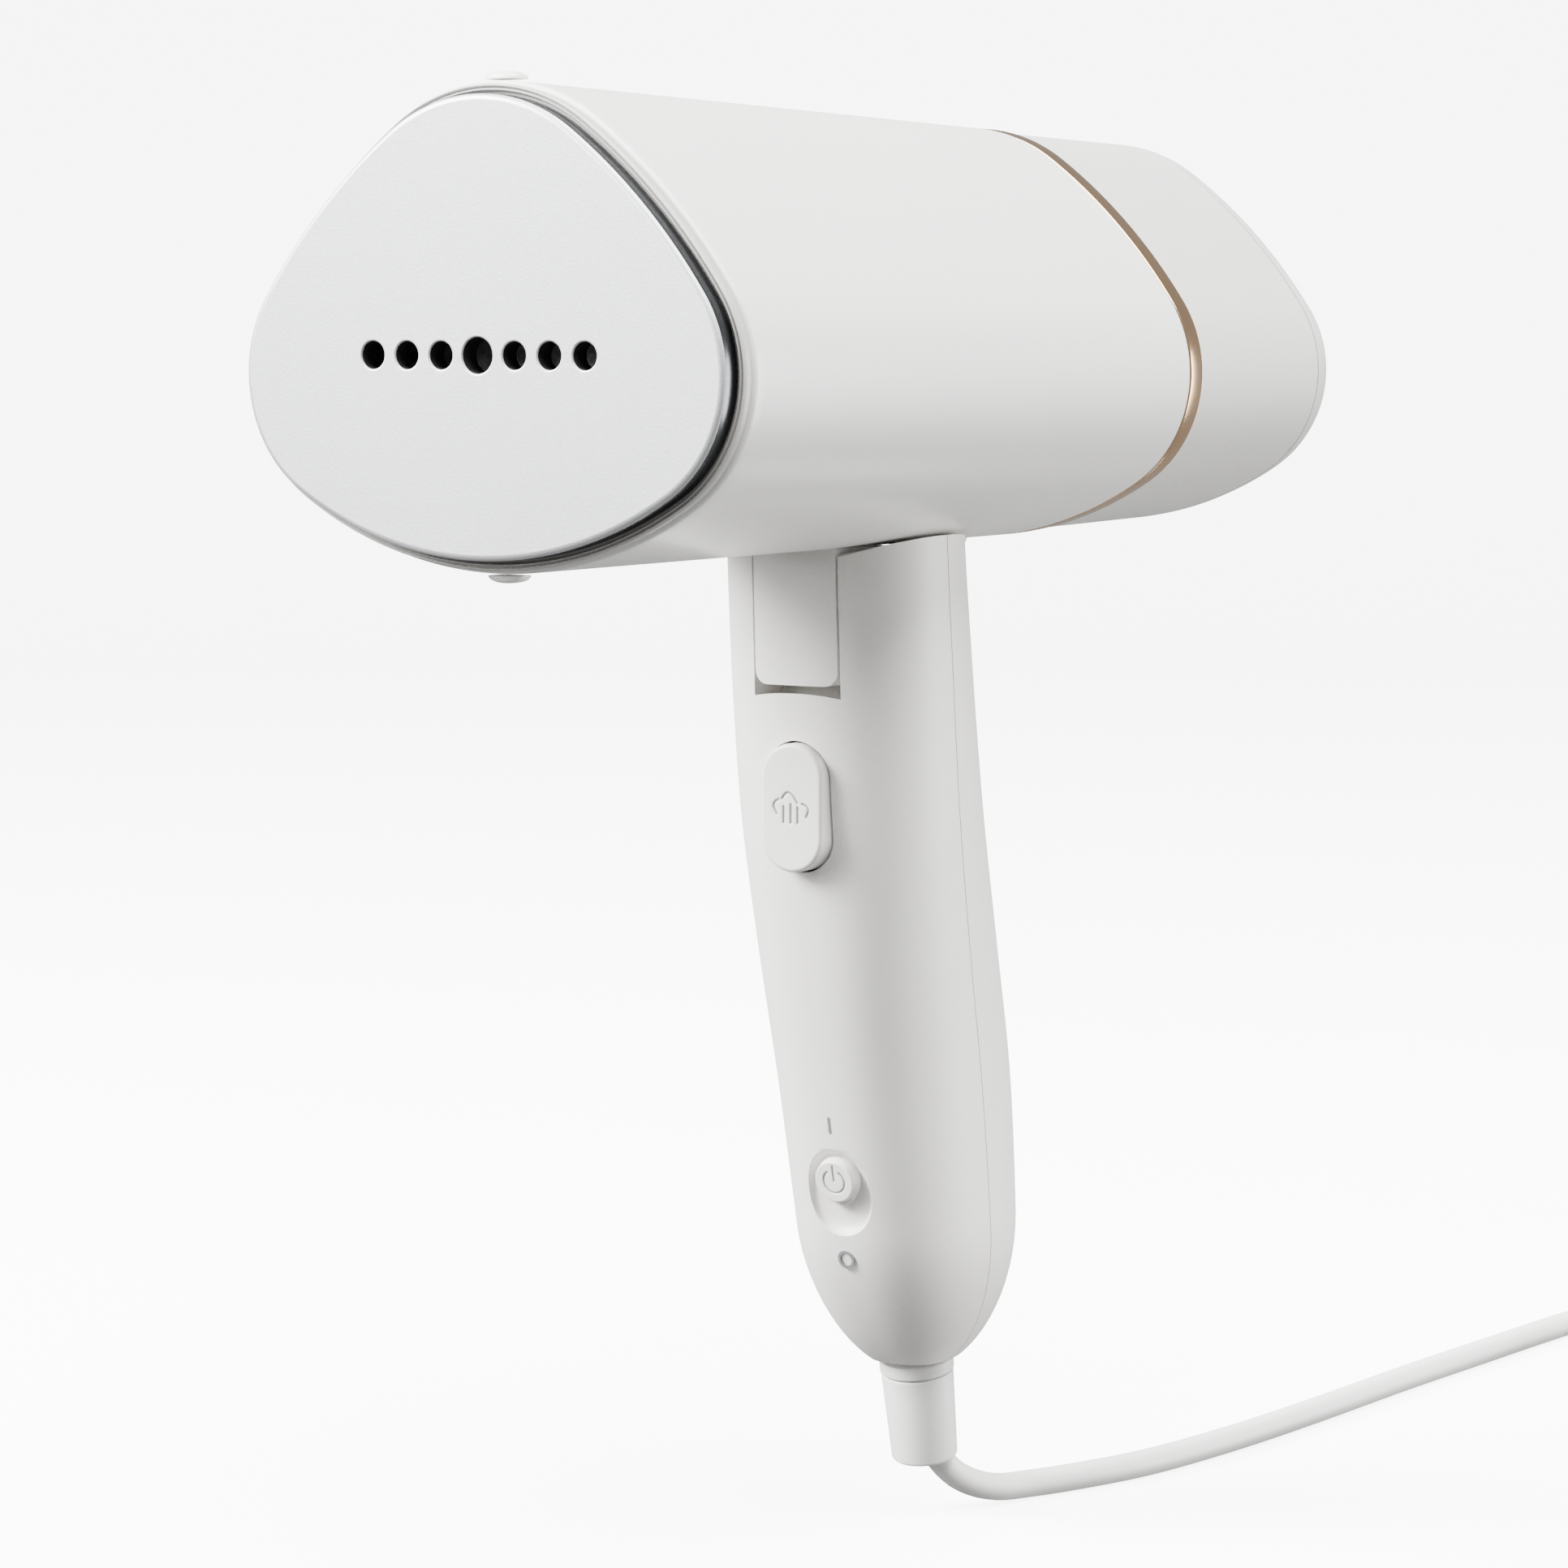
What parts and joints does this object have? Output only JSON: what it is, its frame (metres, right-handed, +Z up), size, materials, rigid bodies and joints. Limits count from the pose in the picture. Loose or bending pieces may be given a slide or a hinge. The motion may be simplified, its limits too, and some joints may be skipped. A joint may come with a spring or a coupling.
{
  "type": "garment steamer",
  "caption": "Foldable handheld garment steamer: horizontal head with a steam plate and rear water tank, folding grip with trigger and slide switch, mains lead.",
  "frame": {"origin": "centre of the grip, halfway up the handle's middle line", "axes": "+X across the head, to the object's own left when the plate is taken as its front, -Y the way the steam plate faces, +Z up with the handle unfolded"},
  "size_m": [0.1831, 0.4154, 0.2684],
  "materials": {
    "pearl_plastic": "pearl white, glossy, with fine flakes",
    "warm_plastic": "warm white, satin",
    "blasted_plate": "fine blasted light grey face with a darker polished side",
    "grey_plastic": "light grey, satin",
    "champagne_metal": "champagne gold, polished anodised",
    "frosted_plastic": "frosted translucent grey with fine sparkle",
    "dark_rubber": "matt black silicone",
    "pale_rubber": "off-white, semi-gloss flex jacket",
    "steel": "plain bright steel",
    "cast_aluminium": "cast, unpolished",
    "circuit_board": "green solder mask",
    "black_plastic": "black moulded",
    "copper": "enamelled copper winding",
    "silicone": "milky silicone"
  },
  "bodies": {
    "handle": {"handle_front_shell": "warm_plastic", "handle_rear_shell": "warm_plastic", "handle_screw_1": "steel", "handle_screw_2": "steel", "handle_screw_3": "steel", "hinge_pin": "steel", "trigger_microswitch": "black_plastic", "trigger_spring": "steel", "power_switch": "black_plastic", "strain_relief": "pale_rubber", "flex_collar": "pale_rubber", "inner_flex": "pale_rubber", "flex_clamp": "black_plastic", "flex_lead": "pale_rubber", "flex_coil": "pale_rubber", "flex_tail": "pale_rubber", "plug_body": "pale_rubber", "plug_pin_left": "steel", "plug_pin_right": "steel"},
    "head": {"steam_plate": "blasted_plate", "plate_seal": "dark_rubber", "front_bezel": "grey_plastic", "brush_lug_top": "grey_plastic", "brush_lug_bottom": "grey_plastic", "head_housing": "pearl_plastic", "steam_generator": "cast_aluminium", "heating_element": "steel", "thermostat": "steel", "thermal_fuse": "copper", "heat_shield": "steel", "water_pump": "black_plastic", "pump_coil": "copper", "tank_bulkhead": "pearl_plastic", "dock_seal": "dark_rubber", "inlet_hose": "silicone", "outlet_hose": "silicone", "control_board": "circuit_board", "control_relay": "black_plastic", "trim_ring": "champagne_metal", "neck_bracket": "warm_plastic", "bracket_screw_1": "steel", "bracket_screw_2": "steel", "bracket_screw_3": "steel", "bracket_screw_4": "steel"},
    "tank": {"tank_shell": "frosted_plastic", "tank_end_cap": "frosted_plastic", "tank_valve": "black_plastic", "flap_pin": "steel"},
    "flap": {"filler_flap": "frosted_plastic"},
    "latch": {"tank_latch": "warm_plastic"},
    "trigger": {"steam_trigger": "warm_plastic"},
    "slider": {"power_slider": "warm_plastic"}
  },
  "joints": [
    {"name": "fold", "type": "hinge", "parent": "handle", "child": "head", "pos_m": [0, -0.0241, 0.0565], "axis": [1, 0, 0], "range_deg": [0, 90]},
    {"name": "tank_slide", "type": "slide", "parent": "head", "child": "tank", "axis": [0, 1, 0], "range_m": [0, 0.03]},
    {"name": "flap_hinge", "type": "hinge", "parent": "tank", "child": "flap", "pos_m": [0, 0.0575, 0.07706], "axis": [-1, 0, 0], "range_deg": [0, 80]},
    {"name": "latch_press", "type": "slide", "parent": "head", "child": "latch", "axis": [0, 0, 1], "range_m": [0, 0.002], "stiffness_N_per_m": 800, "springref_m": -0.0005},
    {"name": "trigger_press", "type": "slide", "parent": "handle", "child": "trigger", "axis": [0, 1, 0], "range_m": [0, 0.002], "stiffness_N_per_m": 1200, "springref_m": -0.0005, "deforming": ["trigger_spring"]},
    {"name": "power_slide", "type": "slide", "parent": "handle", "child": "slider", "axis": [0, 0.2236, -0.9747], "range_m": [0, 0.005]}
  ]
}
